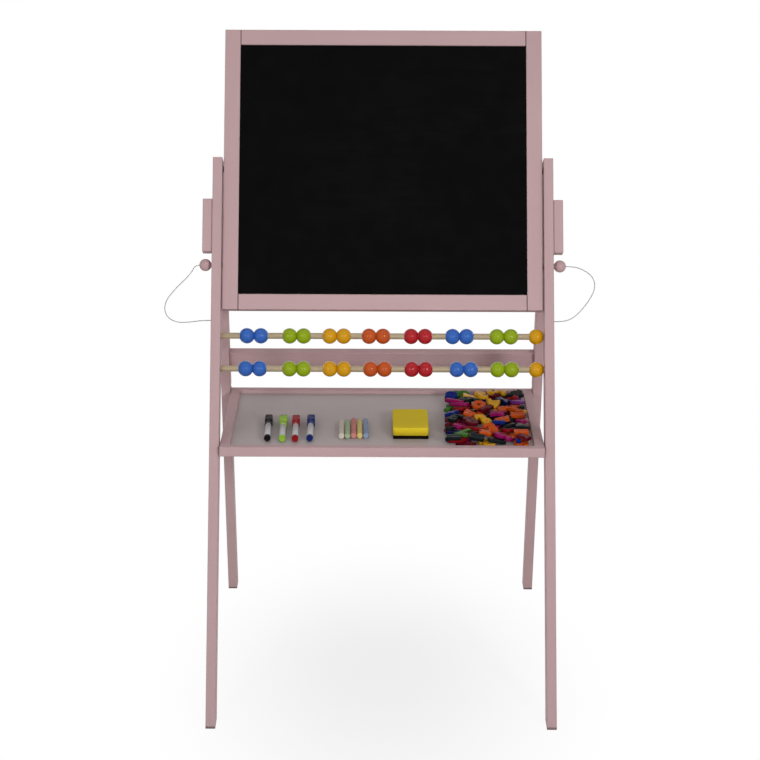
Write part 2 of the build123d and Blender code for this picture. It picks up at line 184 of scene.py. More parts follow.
class Graph:
    """Short calls for wiring one node tree."""

    def __init__(self, tree: Tree) -> None:
        """Keeps the tree to wire."""
        self.tree = tree

    def feed(self, socket: Socket, value: Any) -> None:
        """Links an output into an input, or sets the input to a plain value.

        Args:
            socket: The input to fill.
            value: An output socket, or a plain value.
        """
        if isinstance(value, Socket):
            self.tree.links.new(value, socket)
        else:
            socket.default_value = value

    def node(self, kind: str, inputs: dict[Any, Any], **settings: Any) -> Any:
        """Adds a shader node.

        Args:
            kind: The node's type, without the word ShaderNode.
            inputs: Values or sockets for its inputs, by name or number.
            **settings: Properties of the node.

        Returns:
            Its outputs.
        """
        made = self.tree.nodes.new(f"ShaderNode{kind}")
        for name, value in settings.items():
            setattr(made, name, value)
        for key, value in inputs.items():
            self.feed(made.inputs[key], value)
        return made.outputs

    def math(self, operation: str, first: Any, second: Any = 0.0) -> Socket:
        """The result of a sum on one or two values."""
        return self.node("Math", {0: first, 1: second}, operation=operation)[0]

    def times(self, first: Any, second: Any) -> Socket:
        """The product of two values."""
        return self.math("MULTIPLY", first, second)

    def span(self, value: Any, low: float, high: float, to_low: float = 0.0, to_high: float = 1.0) -> Socket:
        """A value eased from one range to another."""
        inputs = {0: value, 1: low, 2: high, 3: to_low, 4: to_high}
        return self.node("MapRange", inputs, interpolation_type="SMOOTHSTEP")[0]

    def vary(self, noise: Any, between: Span = (0.0, 1.0)) -> Socket:
        """Noise eased between two values over the middle of its swing."""
        return self.span(noise, 0.3, 0.7, *between)

    def blend(self, share: Any, first: Any, second: Any) -> Socket:
        """A colour mixed from two."""
        return self.node("Mix", {0: share, 6: first, 7: second}, data_type="RGBA")[2]

    def over(self, first: Any, mask: Any, share: float, second: Any) -> Socket:
        """A colour with a share of another laid over it where a mask shows."""
        return self.blend(self.times(mask, share), first, second)

    def scaled(self, colour: Any, factor: Any) -> Socket:
        """A colour made lighter or darker by a factor."""
        start = colour if isinstance(colour, Socket) else colour[:3]
        return self.node("VectorMath", {0: start, 3: factor}, operation="SCALE")[0]

    def noise(
        self, own: Any, scale: Any, detail: float = 2.0, rough: float = 0.5, bend: float = 0.0
    ) -> Socket:
        """Smooth noise from 0 to 1."""
        shape = {"Detail": detail, "Roughness": rough, "Distortion": bend}
        return self.node("TexNoise", {"Vector": own, "Scale": scale, **shape})[0]

    def place(self, turn: Triple = (0.0, 0.0, 0.0)) -> Socket:
        """The surface's own coordinates, turned."""
        return self.node("Mapping", {0: self.node("TexCoord", {})["Object"], 2: turn})[0]

    def stretch(self, own: Any, scale: Triple) -> Socket:
        """Coordinates drawn out along their axes."""
        return self.node("Mapping", {0: own, 3: scale})[0]

    def relief(self, height: Any, depth: float, strength: float, under: Any = None) -> Socket:
        """A normal raised by a height, or sunk by it.

        Args:
            height: The height, from 0 to 1.
            depth: What a height of 1 stands for, in metres.
            strength: How much of it shows; a negative one sinks the surface.
            under: The normal of a coarser relief below it.

        Returns:
            The normal.
        """
        inputs = {"Height": height, "Distance": depth, "Strength": abs(strength)}
        if under is not None:
            inputs["Normal"] = under
        return self.node("Bump", inputs, invert=strength < 0)[0]


class Effects:
    """The effects that several finishes share, each a node group built once."""

    @staticmethod
    def begin(name: str, inputs: Sequence[str], *outputs: str) -> tuple[Graph, Socket, Any, Any]:
        """Starts a group with its sockets.

        Args:
            name: The group's name.
            inputs: Names of the numbers that it takes, beside the place on the surface.
            *outputs: Names of the numbers that it puts out.

        Returns:
            The graph, the place, the values given and the sockets for the results.
        """
        tree = bpy.data.node_groups.new(name, "ShaderNodeTree")
        tree.interface.new_socket("Vector", in_out="INPUT", socket_type="NodeSocketVector")
        for way, labels in (("INPUT", inputs), ("OUTPUT", outputs)):
            for label in labels:
                tree.interface.new_socket(label, in_out=way, socket_type="NodeSocketFloat")
        given = tree.nodes.new("NodeGroupInput").outputs
        return Graph(tree), given["Vector"], given, tree.nodes.new("NodeGroupOutput").inputs

    @staticmethod
    @cache
    def fibres() -> Tree:
        """Long streaks and short pores along the third axis.

        Returns:
            The group, which puts out Streaks and Pores.
        """
        g, own, given, out = Effects.begin("Fibres", ["Fineness"], "Streaks", "Pores")
        long, short = (g.stretch(own, (1.0, 1.0, share)) for share in (0.035, 0.09))
        streaks = g.noise(long, given["Fineness"], detail=4.0, rough=0.62, bend=0.35)
        pores = g.noise(short, g.times(given["Fineness"], 7.0))
        g.feed(out["Streaks"], g.span(streaks, 0.28, 0.74))
        g.feed(out["Pores"], g.span(pores, 0.52, 0.72))
        return g.tree

    @staticmethod
    @cache
    def mottle() -> Tree:
        """Slow uneven tone.

        Returns:
            The group, which puts out a factor round one.
        """
        g, own, given, out = Effects.begin("Mottle", ["Scale", "Amount"], "Factor")
        cloud = g.noise(own, given["Scale"], detail=3.0, rough=0.55, bend=0.2)
        swing = g.times(g.math("SUBTRACT", cloud, 0.5), g.times(given["Amount"], 2.0))
        g.feed(out["Factor"], g.math("ADD", swing, 1.0))
        return g.tree

    @staticmethod
    @cache
    def skin() -> Tree:
        """The fine ripple of a sprayed or moulded skin.

        Returns:
            The group, which puts out a height.
        """
        g, own, given, out = Effects.begin("Skin", ["Scale"], "Height")
        coarse = g.noise(own, given["Scale"])
        fine = g.noise(own, g.times(given["Scale"], 3.7), detail=1.0)
        g.feed(out["Height"], g.math("ADD", g.times(coarse, 0.7), g.times(fine, 0.3)))
        return g.tree

    @staticmethod
    @cache
    def edges() -> Tree:
        """The corners in patches: painted shade on the pink paint, a paler tint on plastic and foam.

        Returns:
            The group, which puts out a mask.
        """
        g, own, given, out = Effects.begin("Corner patches", ["Radius"], "Mask")
        soft = g.node("Bevel", {"Radius": given["Radius"]}, samples=4)[0]
        hard = g.node("NewGeometry", {})["Normal"]
        facing = g.node("VectorMath", {0: soft, 1: hard}, operation="DOT_PRODUCT")["Value"]
        corner = g.span(g.math("SUBTRACT", 1.0, facing), 0.004, 0.16)
        patch = g.span(g.noise(own, 38.0, detail=4.0, rough=0.6), 0.36, 0.66, 0.25, 1.0)
        g.feed(out["Mask"], g.times(corner, patch))
        return g.tree

    @staticmethod
    @cache
    def dust() -> Tree:
        """A thin veil of powder in wiped arcs and clouds.

        Returns:
            The group, which puts out a mask.
        """
        g, own, given, out = Effects.begin("Dust", ["Scale"], "Mask")
        cloud = g.noise(own, given["Scale"], detail=5.0, rough=0.6, bend=0.8)
        arcs = g.stretch(own, (0.5, 3.0, 3.0))
        wiped = g.noise(arcs, g.times(given["Scale"], 2.5), detail=4.0, rough=0.6, bend=1.4)
        grit = g.noise(own, 1500.0, detail=1.0)
        veil = g.times(g.span(cloud, 0.35, 0.75), g.span(wiped, 0.25, 0.8))
        g.feed(out["Mask"], g.times(veil, g.span(grit, 0.2, 0.8, 0.55, 1.0)))
        return g.tree


class Surface(Graph):
    """A material's graph, with the shared effects at hand."""

    def effect(self, tree: Tree, own: Any, **inputs: float) -> Any:
        """The outputs of a shared effect, placed with its own values."""
        return self.node("Group", {"Vector": own, **inputs}, node_tree=tree)

    def fibres(self, own: Any, fineness: float) -> tuple[Socket, Socket]:
        """Masks of the wood's streaks and pores."""
        made = self.effect(Effects.fibres(), own, Fineness=fineness)
        return made["Streaks"], made["Pores"]

    def toned(self, own: Any, colour: Any, scale: float, amount: float) -> Socket:
        """A colour with slow uneven tone."""
        return self.scaled(colour, self.effect(Effects.mottle(), own, Scale=scale, Amount=amount)[0])

    def skin(self, own: Any, scale: float, depth: float, strength: float, under: Any = None) -> Socket:
        """The normal of a sprayed or moulded skin."""
        return self.relief(self.effect(Effects.skin(), own, Scale=scale)[0], depth, strength, under)

    def corner_mask(self, own: Any, radius: float) -> Socket:
        """A mask of the corners in patches, within a radius in metres."""
        return self.effect(Effects.edges(), own, Radius=radius)[0]

    def dust(self, own: Any, scale: float) -> Socket:
        """A mask of powder and wipe marks."""
        return self.effect(Effects.dust(), own, Scale=scale)[0]


@dataclass(frozen=True)
class Finish:
    """A finish with its own material, made when it is first asked for.

    Its roughness lies between two values. The extras are other constants of the shader, by name.
    """

    name: str
    colour: Colour
    rough: Span
    shine: float = 0.5
    extras: Extras = ()

    def material(self) -> bpy.types.Material:
        """Finds the finish's material, or makes it.

        Returns:
            The material.
        """
        found = bpy.data.materials.get(self.name)
        if found is None:
            found = bpy.data.materials.new(self.name)
            found.use_nodes = True
            found.diffuse_color = self.colour
            g = Surface(found.node_tree)
            shader = found.node_tree.nodes["Principled BSDF"].inputs
            look = zip(("Base Color", "Roughness", "Normal"), self.wire(g))
            for name, value in (*look, ("Specular IOR Level", self.shine), *self.extras):
                g.feed(shader[name], value)
        return found

    def wire(self, g: Surface) -> Look:
        """The colour, roughness and normal; each finish wires its own in the graph that it is given."""
        raise NotImplementedError


@dataclass(frozen=True)
class PaintedWood(Finish):
    """Satin paint on planed pine: faint grain, a rolled skin, painted shade on its corners and painted shadow
    at its feet.

    A jointed piece has a shoulder, the distance in metres from the stand's middle to its joint. A dark line
    is
    drawn there: thin paint on the rails, painted shadow of the leg's edge on the cheeks. Its seam is how dark
    it is.
    """

    rough: Span = (0.56, 0.68)
    shine: float = 0.2
    grain: Grain = Grain.ACROSS
    shoulder: float = 0.0
    seam: float = 0.85
    # painted shade: the colour that the rounded corners are darkened towards
    corner_tone: Colour = shade(148, 128, 129)
    # painted contact shadow: the colour of the dark strip at the feet
    foot_shadow: Colour = shade(92, 80, 80)
    # a dark joint line on the board's rails, and painted shadow of the leg's edge on the hinge cheeks
    joint_and_shadow: Colour = shade(84, 58, 64)

    def wire(self, g: Surface) -> Look:
        """Wires paint tone, grain relief, painted corner shade, a painted foot shadow and joint lines.

        Args:
            g: The material's graph.

        Returns:
            Colour, roughness and normal.
        """
        own = g.place(self.grain.value)
        streaks, pores = g.fibres(own, fineness=120.0)
        corner_mask = g.corner_mask(own, radius=0.0022)
        paint = g.toned(own, self.colour, scale=9.0, amount=0.05)
        paint = g.over(paint, streaks, 0.28, g.scaled(self.colour, 0.9))
        # painted shade on the rounded corners, where they turn away from the light
        paint = g.over(paint, corner_mask, 0.6, self.corner_tone)
        axes = g.node("SeparateXYZ", {0: g.place()})
        # painted contact shadow: a ragged dark strip within a few mm of the floor
        ragged = g.times(g.noise(own, 120.0, detail=3.0), 0.003)
        foot_shadow_mask = g.span(g.math("SUBTRACT", axes["Z"], ragged), 0.0004, 0.0034, 0.78, 0.0)
        paint = g.blend(foot_shadow_mask, paint, self.foot_shadow)
        if self.shoulder:
            aside = g.math("ABSOLUTE", axes["X"])
            away = g.math("ABSOLUTE", g.math("SUBTRACT", aside, self.shoulder))
            # a dark line by the joint: on the cheeks it is painted shadow of the leg's edge standing in front
            paint = g.blend(g.span(away, 0.0009, 0.0019, self.seam, 0.0), paint, self.joint_and_shadow)
        satin = g.vary(g.noise(own, 55.0, detail=3.0), self.rough)
        under = g.relief(streaks, depth=0.00012, strength=0.5)
        under = g.relief(pores, depth=0.00005, strength=-0.5, under=under)
        rolled = g.skin(own, scale=900.0, depth=0.00004, strength=0.7, under=under)
        return paint, g.math("SUBTRACT", satin, g.times(corner_mask, 0.08)), rolled


@dataclass(frozen=True)
class BareWood(Finish):
    """Clear lacquered beech: fine straight grain with short flecks."""

    rough: Span = (0.38, 0.55)

    def wire(self, g: Surface) -> Look:
        """Wires grain colour, flecks and a thin lacquer.

        Args:
            g: The material's graph.

        Returns:
            Colour, roughness and normal.
        """
        own = g.place(Grain.ACROSS.value)
        streaks, pores = g.fibres(own, fineness=330.0)
        wood = g.over(self.colour, streaks, 0.62, g.scaled(self.colour, 0.66))
        wood = g.over(wood, pores, 0.45, g.scaled(self.colour, 0.5))
        wood = g.toned(own, wood, scale=14.0, amount=0.08)
        return wood, g.span(streaks, 0.0, 1.0, *self.rough), g.relief(pores, depth=0.00004, strength=-0.6)


@dataclass(frozen=True)
class BeadLacquer(Finish):
    """Glossy dipped lacquer on a turned bead, with the rings of turning just under it."""

    rough: Span = (0.19, 0.25)
    shine: float = 0.2
    askew: Triple = (0.4, 0.7, 0.2)

    def wire(self, g: Surface) -> Look:
        """Wires lacquer tone, turning rings and gloss.

        Args:
            g: The material's graph.

        Returns:
            Colour, roughness and normal.
        """
        own = g.place()
        streaks, _ = g.fibres(g.place(self.askew), fineness=420.0)
        coat = g.over(self.colour, streaks, 0.35, g.scaled(self.colour, 0.82))
        gloss = g.vary(g.noise(own, 90.0, detail=3.0), self.rough)
        turning = {"Vector": own, "Scale": 420.0, "Distortion": 1.5, "Detail": 1.0}
        rings = g.node("TexWave", turning, bands_direction="X")["Fac"]
        under = g.relief(rings, depth=0.00001, strength=0.25)
        dipped = g.skin(own, scale=520.0, depth=0.00002, strength=0.4, under=under)
        return g.toned(own, coat, scale=26.0, amount=0.07), gloss, dipped


@dataclass(frozen=True)
class Blackboard(Finish):
    """Matt blackboard paint with a fine tooth and the haze of wiped chalk."""

    rough: Span = (0.76, 0.88)
    shine: float = 0.03
    chalk: Colour = (0.8, 0.8, 0.78, 1.0)

    def wire(self, g: Surface) -> Look:
        """Wires the haze, the tooth and the dry surface.

        Args:
            g: The material's graph.

        Returns:
            Colour, roughness and normal.
        """
        own = g.place(Grain.FRONT_LEG.value)
        hazed = g.over(self.colour, g.dust(own, scale=5.0), 0.004, self.chalk)
        dry = g.vary(g.noise(own, 30.0, detail=4.0), self.rough)
        return hazed, dry, g.skin(own, scale=2600.0, depth=0.00006, strength=0.8)


@dataclass(frozen=True)
class Whiteboard(Finish):
    """Hard white enamel on sheet steel: glossy, with faint wipe marks and a slow ripple."""

    rough: Span = (0.1, 0.26)
    extras: Extras = (("Coat Weight", 0.4), ("Coat Roughness", 0.06))

    def wire(self, g: Surface) -> Look:
        """Wires wipe marks, gloss and the sheet's ripple.

        Args:
            g: The material's graph.

        Returns:
            Colour, roughness and normal.
        """
        own = g.place(Grain.FRONT_LEG.value)
        marks = g.dust(own, scale=4.0)
        enamel = g.over(self.colour, marks, 0.5, g.scaled(self.colour, 0.88))
        ripple = g.relief(g.noise(own, 6.0, detail=1.0), depth=0.0006, strength=0.25)
        return enamel, g.span(marks, 0.0, 1.0, *self.rough), ripple


@dataclass(frozen=True)
class FacedBoard(Finish):
    """Grey faced hardboard: a paper skin with fine flecks, dusted by chalk."""

    rough: Span = (0.46, 0.66)
    shine: float = 0.2
    powder: Colour = (0.72, 0.71, 0.69, 1.0)

    def wire(self, g: Surface) -> Look:
        """Wires flecks, dust and a dull sheen.

        Args:
            g: The material's graph.

        Returns:
            Colour, roughness and normal.
        """
        own = g.place()
        dust = g.dust(own, scale=7.0)
        flecks = g.span(g.noise(g.stretch(own, (1.0, 0.25, 1.0)), 900.0), 0.56, 0.72)
        paper = g.over(self.colour, flecks, 0.2, g.scaled(self.colour, 0.72))
        paper = g.toned(own, g.over(paper, dust, 0.22, self.powder), scale=18.0, amount=0.035)
        pressed = g.skin(own, scale=1100.0, depth=0.00004, strength=0.6)
        return paper, g.span(dust, 0.0, 1.0, *self.rough), pressed


@dataclass(frozen=True)
class PlatedSteel(Finish):
    """Zinc plate with a soft drawn grain and dull spots."""

    rough: Span = (0.26, 0.44)
    extras: Extras = (("Metallic", 1.0),)

    def wire(self, g: Surface) -> Look:
        """Wires drawn grain and dulling.

        Args:
            g: The material's graph.

        Returns:
            Colour, roughness and normal.
        """
        own = g.place()
        drawn = g.noise(g.stretch(own, (0.2, 1.0, 1.0)), 2400.0)
        plate = g.toned(own, self.colour, scale=160.0, amount=0.1)
        return plate, g.vary(drawn, self.rough), g.relief(drawn, depth=0.00002, strength=0.4)


@dataclass(frozen=True)
class Moulded(Finish):
    """Injection moulded plastic with a light texture and slightly paler corners."""

    rough: Span = (0.25, 0.39)
    shine: float = 0.04
    pale: Colour = (0.9, 0.9, 0.9, 1.0)

    def wire(self, g: Surface) -> Look:
        """Wires moulding tone, texture and paler corners.

        Args:
            g: The material's graph.

        Returns:
            Colour, roughness and normal.
        """
        own = g.place()
        body = g.toned(own, self.colour, scale=45.0, amount=0.06)
        body = g.over(body, g.corner_mask(own, radius=0.0009), 0.6, g.blend(0.03, self.colour, self.pale))
        dulled = g.vary(g.noise(own, 120.0, detail=3.0), self.rough)
        return body, dulled, g.skin(own, scale=1700.0, depth=0.00004, strength=0.5)


@dataclass(frozen=True)
class ChalkBody(Finish):
    """Pressed chalk: dry, pitted and dusty."""

    rough: Span = (0.86, 0.97)
    shine: float = 0.15
    powder: Colour = (0.82, 0.8, 0.76, 1.0)

    def wire(self, g: Surface) -> Look:
        """Wires pits, powder and a dry surface.

        Args:
            g: The material's graph.

        Returns:
            Colour, roughness and normal.
        """
        own = g.place()
        pits = g.span(g.noise(own, 1300.0, detail=3.0, rough=0.6), 0.58, 0.74)
        body = g.over(self.colour, pits, 0.35, g.scaled(self.colour, 0.7))
        body = g.over(body, g.dust(own, scale=60.0), 0.4, self.powder)
        return body, g.span(pits, 0.0, 1.0, *self.rough), g.relief(pits, depth=0.00012, strength=-0.8)


@dataclass(frozen=True)
class Foam(Finish):
    """Closed-cell foam: small cells under a soft skin."""

    rough: Span = (0.6, 0.78)
    shine: float = 0.12
    corner_tone: Colour = (0.9, 0.8, 0.3, 1.0)

    def wire(self, g: Surface) -> Look:
        """Wires the cells, tone and soft sheen.

        Args:
            g: The material's graph.

        Returns:
            Colour, roughness and normal.
        """
        own = g.place()
        cells = g.node("TexVoronoi", {"Vector": own, "Scale": 1500.0})["Distance"]
        body = g.over(self.colour, g.span(cells, 0.1, 0.6), 0.22, g.scaled(self.colour, 0.7))
        body = g.over(body, g.corner_mask(own, radius=0.003), 0.25, self.corner_tone)
        body = g.toned(own, body, scale=32.0, amount=0.05)
        return body, g.span(cells, 0.0, 0.7, *self.rough), g.relief(cells, depth=0.00012, strength=-0.5)


@dataclass(frozen=True)
class Felt(Finish):
    """Pressed wool felt: matted fibre in two shades, with a soft nap."""

    rough: Span = (0.88, 1.0)
    shine: float = 0.02
    extras: Extras = (("Sheen Weight", 0.02),)
    fineness: float = 1400.0
    detail: float = 5.0
    tangle: float = 0.7
    bend: float = 1.2
    shades: Span = (0.55, 1.5)
    tone: Span = (50.0, 0.15)
    depth: float = 0.0003
    strength: float = 0.7

    def wire(self, g: Surface) -> Look:
        """Wires the fibre's tone, dullness and relief.

        Args:
            g: The material's graph.

        Returns:
            Colour, roughness and normal.
        """
        own = g.place()
        mat = g.noise(own, self.fineness, self.detail, self.tangle, self.bend)
        dark, light = (g.scaled(self.colour, factor) for factor in self.shades)
        wool = g.toned(own, g.blend(g.vary(mat), dark, light), *self.tone)
        return wool, g.span(mat, 0.2, 0.8, *self.rough), g.relief(mat, self.depth, self.strength)


@dataclass(frozen=True)
class Twine(Felt):
    """Waxed two-ply cord: fine dull fibre."""

    rough: Span = (0.62, 0.82)
    shine: float = 0.5
    extras: Extras = (("Sheen Weight", 0.15),)
    fineness: float = 3800.0
    detail: float = 3.0
    tangle: float = 0.6
    bend: float = 0.0
    shades: Span = (0.72, 1.15)
    tone: Span = (60.0, 0.12)
    depth: float = 0.0001
    strength: float = 0.5


PINK = shade(191, 160, 162)
ROD_FINISH = BareWood("rod beech", shade(178, 159, 128))
STEEL = PlatedSteel("zinc plated steel", (0.6, 0.6, 0.61, 1.0))
BLACK_STEEL = PlatedSteel("blackened steel", (0.05, 0.05, 0.053, 1.0))
CORD_FINISH = Twine("grey waxed cord", shade(170, 170, 171))
MARKER_WHITE = Moulded("marker plastic white", shade(200, 198, 201))
WIPER_FELT = Felt("wiper felt", shade(52, 50, 50))


def painted(grain: Grain, shoulder: float = 0.0, seam: float = 0.85) -> PaintedWood:
    """The pink paint with its grain along a piece, and a joint line where the piece has a shoulder."""
    name = f"pink paint {grain.name.lower()}" + (" jointed" if shoulder else "")
    return PaintedWood(name, PINK, grain=grain, shoulder=shoulder, seam=seam)


def dress(finish: Finish, *nodes: str) -> None:
    """Gives nodes of the stand a finish.

    Args:
        finish: The finish for all of each node.
        *nodes: The nodes' names.
    """
    for node in nodes:
        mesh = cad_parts[node].data
        mesh.materials.clear()
        mesh.materials.append(finish.material())
        log.info("dressed %s in %s", node, finish.name)


def add_piece(name: str, bm: Shape, *finishes: Finish) -> bpy.types.Object:
    """Puts a finished shape in the scene as a piece.

    Args:
        name: The piece's name.
        bm: Its shape, in metres in the stand's frame. It is used up.
        *finishes: The finishes, in the order of the shape's material numbers.

    Returns:
        The piece.
    """
    mesh = bpy.data.meshes.new(name)
    bm.to_mesh(mesh)
    bm.free()
    for finish in finishes:
        mesh.materials.append(finish.material())
    piece = bpy.data.objects.new(name, mesh)
    bpy.context.scene.collection.objects.link(piece)
    return piece


def seat(piece: bpy.types.Object, node: str) -> None:
    """Lets a piece stand for a node of the frame body.

    Args:
        piece: The piece, in place.
        node: The node that it stands for.
    """
    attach(piece, "frame")
    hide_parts(node)
    log.info("made %s for %s", piece.name, node)


def close_rings(bm: Shape, rings: Rings, materials: Sequence[int]) -> None:
    """Joins rings of vertices into a closed skin.

    Args:
        bm: The mesh that the rings are in.
        rings: The rings, from one end to the other.
        materials: The material from each ring to the next; the first and last are the ends' too.
    """
    for low, high, material in zip(rings, rings[1:], materials):
        for k in range(len(low)):
            face = bm.faces.new((low[k - 1], low[k], high[k], high[k - 1]))
            face.material_index = material
            face.smooth = True
    bm.faces.new(rings[0][::-1]).material_index = materials[0]
    bm.faces.new(rings[-1]).material_index = materials[-1]


def turned(bm: Shape, profile: Profile, sides: int) -> Rings:
    """Adds a shape turned about the third axis to a mesh.

    Args:
        bm: The mesh to add to.
        profile: Radius and height of each ring in mm, and the material from it to the next.
        sides: Facets round the shape.

    Returns:
        The rings of vertices.
    """
    angles = [FULL_TURN * k / sides for k in range(sides)]
    rings = [
        [bm.verts.new(Vector((radius * math.cos(a), radius * math.sin(a), height)) * MM) for a in angles]
        for radius, height, _ in profile
    ]
    close_rings(bm, rings, [material for _, _, material in profile])
    return rings


def block(bm: Shape, size: Sequence[float], centre: Sequence[float] = (0, 0, 0)) -> list[Any]:
    """Adds a square block to a mesh, with its sizes and middle in mm, and gives its vertices."""
    place = Matrix.Translation(Vector(centre) * MM) @ Matrix.Diagonal((*(s * MM for s in size), 1.0))
    return bmesh.ops.create_cube(bm, size=1.0, matrix=place)["verts"]


def rounded(bm: Shape, edges: Iterable[Any], radius: float, steps: int, **more: Any) -> list[Any]:
    """Rounds edges by a radius in mm over some steps, and gives the new faces."""
    how = {"offset": radius * MM, "segments": steps, "profile": 0.5, "affect": "EDGES", **more}
    return bmesh.ops.bevel(bm, geom=list(edges), **how)["faces"]


def rounded_block(
    bm: Shape, size: Sequence[float], height: float, radius: float, material: int = 0, steps: int = 4
) -> None:
    """Adds a block with rounded corners to a mesh, on the third axis.

    Args:
        bm: The mesh to add to.
        size: Its three sizes, mm.
        height: How far up its middle is, mm.
        radius: Its corner radius, mm.
        material: Its material number.
        steps: Facets round each corner.
    """
    verts = block(bm, size, (0, 0, height))
    for face in {face for vert in verts for face in vert.link_faces}:
        face.material_index = material
    edges = {edge for vert in verts for edge in vert.link_edges}
    for face in rounded(bm, edges, radius, steps, material=material):
        face.smooth = True


@dataclass
class Stand:
    """The two pairs of legs, their cheeks, the cross rail, the pegs and the fixings."""

    front: tuple[str, ...] = ("front_leg_left", "front_leg_right")
    cheeks: tuple[str, ...] = ("hinge_cheek_left", "hinge_cheek_right")
    back: tuple[str, ...] = ("back_leg_left", "back_leg_right")
    across: tuple[str, ...] = ("back_cross_rail", "peg_left", "peg_right")
    fixings: tuple[str, ...] = ("frame_screws", "hinge_bolts")
    # how dark the painted shadow is where the leg's edge stands before each cheek
    cheek_seam: float = 0.42

    def build(self) -> None:
        """Dresses every piece of the stand."""
        cheek_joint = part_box("hinge_cheek_right")[0].x
        dress(painted(Grain.FRONT_LEG), *self.front)
        # the cheeks' line by the leg is painted shadow of the leg's edge
        dress(painted(Grain.FRONT_LEG, cheek_joint, self.cheek_seam), *self.cheeks)
        dress(painted(Grain.BACK_LEG), *self.back)
        dress(painted(Grain.ACROSS), *self.across)
        dress(STEEL, *self.fixings)


@dataclass
class Board:
    """The turning board: its frame, the chalk side, the marker side and the pivots."""

    stiles: tuple[str, ...] = ("board_stile_left", "board_stile_right")
    rails: tuple[str, ...] = ("board_rail_top", "board_rail_bottom")
    chalk_side: Colour = shade(10, 9, 9)
    marker_side: Colour = shade(240, 241, 240)

    def build(self) -> None:
        """Dresses the board's frame, both its faces and its pivots."""
        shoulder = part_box("board_stile_right")[0].x
        dress(painted(Grain.FRONT_LEG), *self.stiles)
        dress(painted(Grain.ACROSS, shoulder), *self.rails)
        dress(Blackboard("blackboard paint", self.chalk_side), "chalkboard_panel")
        dress(Whiteboard("white enamel", self.marker_side), "whiteboard_panel")
        dress(BLACK_STEEL, "board_pivot_bolts")


@dataclass
class Abacus:
    """Two rods with their beads."""

    rods: str = "abacus_rods"
    bead: str = "bead_"

    def build(self) -> None:
        """Dresses the rods, and each bead in the colour that its name gives."""
        dress(ROD_FINISH, self.rods)
        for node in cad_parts:
            if node.startswith(self.bead):
                hue = BeadHue[node.rsplit("_", 1)[1].upper()]
                dress(BeadLacquer(f"bead lacquer {hue.name.lower()}", hue.value), node)


@dataclass
class Tray:
    """The tray between the legs."""

    rails: tuple[str, ...] = ("tray_front_rail", "tray_back_rail")
    ends: tuple[str, ...] = ("tray_side_left", "tray_side_right")
    floor_colour: Colour = shade(178, 167, 166)

    def build(self) -> None:
        """Dresses the rails, the floor and the pins."""
        dress(painted(Grain.ACROSS), *self.rails)
        dress(painted(Grain.FORE_AFT), *self.ends)
        dress(FacedBoard("grey faced board", self.floor_colour), "tray_panel")
        dress(ROD_FINISH, "tray_pins")


@dataclass
class PegCord:
    """A thin cord from a lock peg's ball to a hole in its leg; sizes in mm.

    Each station is how far it is outside the leg's outer face, above the peg and behind its middle.
    """

    side: str
    sign: int
    stations: tuple[Triple, ...]
    thickness: float = 1.6
    plies: int = 2
    ply_dip: float = 0.2
    lay_length: float = 4.2
    peg_up: float = 753.5
    sides: int = 14
    steps: int = 44
    order: int = 3

    def route(self) -> list[Vector]:
        """The points that the cord is led by, from the ball to the leg."""
        return [
            LEG.place(self.sign * (LEG.half_width + out), self.peg_up + rise, LEG.middle + back)
            for out, rise, back in self.stations
        ]

    def line(self) -> list[Vector]:
        """Reads points along the smooth spline that the route controls.

        Returns:
            The points in metres, from the ball to the leg.
        """
        curve = bpy.data.curves.new("cord line", "CURVE")
        curve.dimensions = "3D"
        curve.resolution_u = self.steps
        spline = curve.splines.new("NURBS")
        points = self.route()
        spline.points.add(len(points) - 1)
        for point, where in zip(spline.points, points):
            point.co = (*where, 1.0)
        spline.order_u = self.order
        spline.use_endpoint_u = True
        holder = bpy.data.objects.new("cord line", curve)
        mesh = bpy.data.meshes.new_from_object(holder)
        read = [vert.co.copy() for vert in mesh.vertices]
        bpy.data.objects.remove(holder)
        bpy.data.curves.remove(curve)
        bpy.data.meshes.remove(mesh)
        return read

    def lay_plies(self, bm: Shape, line: Sequence[Vector]) -> None:
        """Lays the twisted plies round the line.

        Args:
            bm: The mesh to add to.
            line: The cord's middle, in metres.
        """
        across = Vector((0.0, 0.0, 1.0))
        travelled = 0.0
        rings = []
        for index, here in enumerate(line):
            behind = line[max(index - 1, 0)]
            run = (line[min(index + 1, len(line) - 1)] - behind).normalized()
            across = (across - run * across.dot(run)).normalized()
            other = run.cross(across)
            travelled += (here - behind).length
            twist = FULL_TURN * travelled / (self.lay_length * MM)
            ring = []
            for k in range(self.sides):
                angle = FULL_TURN * k / self.sides
                swell = 1 - self.ply_dip + self.ply_dip * abs(math.cos(self.plies / 2 * (angle - twist)))
                out = across * math.cos(angle) + other * math.sin(angle)
                ring.append(bm.verts.new(here + out * (self.thickness / 2 * MM * swell)))
            rings.append(ring)
        close_rings(bm, rings, [0] * len(rings))

    def build(self) -> None:
        """Makes the cord from the peg's ball to the leg, in place of the stand's own cord."""
        line = self.line()
        bm = bmesh.new()
        self.lay_plies(bm, line)
        piece = add_piece(f"cord_{self.side}", bm, CORD_FINISH)
        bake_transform(piece)
        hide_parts(f"peg_cord_{self.side}")


